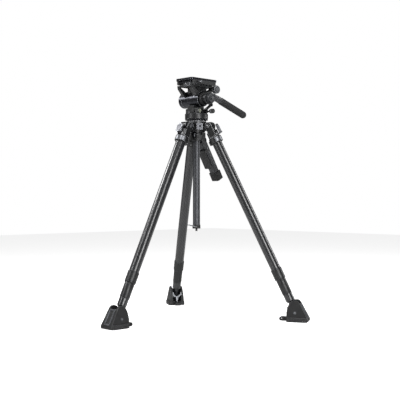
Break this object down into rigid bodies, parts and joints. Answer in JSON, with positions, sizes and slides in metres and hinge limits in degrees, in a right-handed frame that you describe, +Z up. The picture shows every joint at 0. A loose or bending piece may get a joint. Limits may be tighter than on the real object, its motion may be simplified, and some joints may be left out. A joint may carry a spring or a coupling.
{
  "type": "video tripod with fluid head",
  "caption": "Three-legged video tripod with telescoping legs, centre column, rubber feet and a fluid pan and tilt head with a pan bar and a sliding camera plate.",
  "frame": {"origin": "on the ground, on the axis of the centre column, midway between the three feet", "axes": "+Z up along the column; -Y is the front of the head, over the first leg; the tilt axis lies along X with the pan bar on the +X side, and the bar runs to +Y"},
  "size_m": [0.7968, 0.6901, 0.934],
  "materials": {
    "coated_metal": "fine satin black coating",
    "anodised_dark": "dark grey anodised",
    "bare_alloy": "satin silver",
    "steel": "turned and polished",
    "carbon_tube": "woven carbon fibre under clear resin",
    "moulded": "glass-filled nylon, fine grain",
    "rubber": "moulded rubber",
    "bronze": "sintered bearing bronze",
    "vial": "clear acrylic spirit level"
  },
  "bodies": {
    "crown": {"crown": "coated_metal", "hinge_pins": "steel", "accessory_block": "bare_alloy", "column_clamp": "coated_metal", "handle_arm": "moulded", "handle_tip": "rubber"},
    "clamp_lever": {"clamp_lever": "moulded"},
    "trigger": {"handle_trigger": "moulded"},
    "column": {"column_tube": "carbon_tube", "column_cap": "anodised_dark", "head_base": "coated_metal"},
    "hook": {"column_hook": "steel"},
    "pan_head": {"pan_housing": "coated_metal", "pan_bearing": "bronze", "level_vial": "vial", "tilt_drum": "anodised_dark"},
    "pan_lock": {"pan_lock_knob": "moulded"},
    "tilt_lock": {"tilt_lock_lever": "moulded"},
    "tilt_body": {"drum_sides": "anodised_dark", "tilt_axle": "steel", "tilt_cradle": "coated_metal", "rosette": "coated_metal", "bar_bolt": "steel", "clamp_platform": "coated_metal"},
    "drag_dial": {"drag_ring": "moulded"},
    "drag_button": {"drag_button": "steel"},
    "pan_bar": {"bar_clamp": "coated_metal", "bar_grip": "rubber"},
    "plate": {"sliding_plate": "anodised_dark", "plate_pads": "rubber"},
    "camera_screw": {"camera_screw": "steel"},
    "plate_lock": {"plate_knob": "bare_alloy"},
    "plate_release": {"release_button": "bare_alloy"},
    "leg_1": {"leg_1_head": "bare_alloy", "leg_1_collar": "bare_alloy", "leg_1_upper": "carbon_tube", "leg_1_joint": "anodised_dark"},
    "latch_1": {"leg_1_latch": "bare_alloy"},
    "middle_1": {"leg_1_middle": "carbon_tube"},
    "lower_1": {"leg_1_lower": "anodised_dark"},
    "foot_1": {"foot_1_boot": "rubber", "foot_1_clip": "bare_alloy"},
    "leg_2": {"leg_2_head": "bare_alloy", "leg_2_collar": "bare_alloy", "leg_2_upper": "carbon_tube", "leg_2_joint": "anodised_dark"},
    "latch_2": {"leg_2_latch": "bare_alloy"},
    "middle_2": {"leg_2_middle": "carbon_tube"},
    "lower_2": {"leg_2_lower": "anodised_dark"},
    "foot_2": {"foot_2_boot": "rubber", "foot_2_clip": "bare_alloy"},
    "leg_3": {"leg_3_head": "bare_alloy", "leg_3_collar": "bare_alloy", "leg_3_upper": "carbon_tube", "leg_3_joint": "anodised_dark"},
    "latch_3": {"leg_3_latch": "bare_alloy"},
    "middle_3": {"leg_3_middle": "carbon_tube"},
    "lower_3": {"leg_3_lower": "anodised_dark"},
    "foot_3": {"foot_3_boot": "rubber", "foot_3_clip": "bare_alloy"}
  },
  "joints": [
    {"name": "column_slide", "type": "slide", "parent": "crown", "child": "column", "axis": [0, 0, 1], "range_m": [0, 0.25]},
    {"name": "column_clamp_turn", "type": "hinge", "parent": "crown", "child": "clamp_lever", "pos_m": [0.02782, -0.01124, 0.70104], "axis": [0.9272, -0.3746, 0], "range_deg": [-60, 40]},
    {"name": "trigger_squeeze", "type": "hinge", "parent": "crown", "child": "trigger", "pos_m": [0, 0.0395, 0.65409], "axis": [1, 0, 0], "range_deg": [0, 4.8], "stiffness_Nm_per_rad": 4},
    {"name": "hook_swing", "type": "hinge", "parent": "column", "child": "hook", "pos_m": [0, 0, 0.35344], "axis": [0.7193, -0.6947, 0], "range_deg": [-38, 75]},
    {"name": "pan", "type": "hinge", "parent": "column", "child": "pan_head", "pos_m": [0, 0, 0.79554], "axis": [0, 0, 1], "continuous": true},
    {"name": "pan_lock_turn", "type": "hinge", "parent": "pan_head", "child": "pan_lock", "pos_m": [0.06, 0.014, 0.80154], "axis": [1, 0, 0], "range_deg": [-180, 90]},
    {"name": "tilt_lock_turn", "type": "hinge", "parent": "pan_head", "child": "tilt_lock", "pos_m": [0.05, 0, 0.80954], "axis": [1, 0, 0], "range_deg": [-15, 5]},
    {"name": "tilt", "type": "hinge", "parent": "pan_head", "child": "tilt_body", "pos_m": [0, 0, 0.85054], "axis": [1, 0, 0], "range_deg": [-40, 75]},
    {"name": "drag_dial_turn", "type": "hinge", "parent": "tilt_body", "child": "drag_dial", "pos_m": [0.044, 0, 0.85054], "axis": [1, 0, 0], "range_deg": [-150, 150]},
    {"name": "drag_button_press", "type": "slide", "parent": "tilt_body", "child": "drag_button", "axis": [0, 1, 0], "range_m": [0, 0.0008], "stiffness_N_per_m": 1500},
    {"name": "pan_bar_angle", "type": "hinge", "parent": "tilt_body", "child": "pan_bar", "pos_m": [0.0807, 0, 0.85054], "axis": [-1, 0, 0], "range_deg": [-75, 40]},
    {"name": "plate_slide", "type": "slide", "parent": "tilt_body", "child": "plate", "axis": [0, 1, 0], "range_m": [-0.04, 0.04]},
    {"name": "camera_screw_slide", "type": "slide", "parent": "plate", "child": "camera_screw", "axis": [0, 1, 0], "range_m": [-0.026, 0.026]},
    {"name": "plate_knob_turn", "type": "hinge", "parent": "tilt_body", "child": "plate_lock", "pos_m": [0.055, 0.05, 0.88904], "axis": [1, 0, 0], "range_deg": [-120, 120]},
    {"name": "plate_release_press", "type": "slide", "parent": "tilt_body", "child": "plate_release", "axis": [-1, 0, 0], "range_m": [0, 0.002], "stiffness_N_per_m": 900},
    {"name": "leg_1_spread", "type": "hinge", "parent": "crown", "child": "leg_1", "pos_m": [0, -0.0523, 0.74504], "axis": [-1, 0, 0], "range_deg": [-22, 34]},
    {"name": "leg_1_latch_pull", "type": "hinge", "parent": "leg_1", "child": "latch_1", "pos_m": [0, -0.0853, 0.71427], "axis": [1, 0, 0], "range_deg": [0, 15], "stiffness_Nm_per_rad": 0.6},
    {"name": "leg_1_middle_slide", "type": "slide", "parent": "leg_1", "child": "middle_1", "axis": [0, -0.4313, -0.9022], "range_m": [0, 0.38]},
    {"name": "leg_1_lower_slide", "type": "slide", "parent": "middle_1", "child": "lower_1", "axis": [0, -0.4313, -0.9022], "range_m": [0, 0.37]},
    {"name": "foot_1_tilt", "type": "hinge", "parent": "lower_1", "child": "foot_1", "pos_m": [0, -0.39216, 0.0341], "axis": [-1, 0, 0], "range_deg": [-20, 20]},
    {"name": "leg_2_spread", "type": "hinge", "parent": "crown", "child": "leg_2", "pos_m": [0.04529, 0.02615, 0.74504], "axis": [0.5, -0.866, 0], "range_deg": [-22, 34]},
    {"name": "leg_2_latch_pull", "type": "hinge", "parent": "leg_2", "child": "latch_2", "pos_m": [0.07387, 0.04265, 0.71427], "axis": [-0.5, 0.866, 0], "range_deg": [0, 15], "stiffness_Nm_per_rad": 0.6},
    {"name": "leg_2_middle_slide", "type": "slide", "parent": "leg_2", "child": "middle_2", "axis": [0.3735, 0.2156, -0.9022], "range_m": [0, 0.38]},
    {"name": "leg_2_lower_slide", "type": "slide", "parent": "middle_2", "child": "lower_2", "axis": [0.3735, 0.2156, -0.9022], "range_m": [0, 0.37]},
    {"name": "foot_2_tilt", "type": "hinge", "parent": "lower_2", "child": "foot_2", "pos_m": [0.33962, 0.19608, 0.0341], "axis": [0.5, -0.866, 0], "range_deg": [-20, 20]},
    {"name": "leg_3_spread", "type": "hinge", "parent": "crown", "child": "leg_3", "pos_m": [-0.04529, 0.02615, 0.74504], "axis": [0.5, 0.866, 0], "range_deg": [-22, 34]},
    {"name": "leg_3_latch_pull", "type": "hinge", "parent": "leg_3", "child": "latch_3", "pos_m": [-0.07387, 0.04265, 0.71427], "axis": [-0.5, -0.866, 0], "range_deg": [0, 15], "stiffness_Nm_per_rad": 0.6},
    {"name": "leg_3_middle_slide", "type": "slide", "parent": "leg_3", "child": "middle_3", "axis": [-0.3735, 0.2156, -0.9022], "range_m": [0, 0.38]},
    {"name": "leg_3_lower_slide", "type": "slide", "parent": "middle_3", "child": "lower_3", "axis": [-0.3735, 0.2156, -0.9022], "range_m": [0, 0.37]},
    {"name": "foot_3_tilt", "type": "hinge", "parent": "lower_3", "child": "foot_3", "pos_m": [-0.33962, 0.19608, 0.0341], "axis": [0.5, 0.866, 0], "range_deg": [-20, 20]}
  ]
}
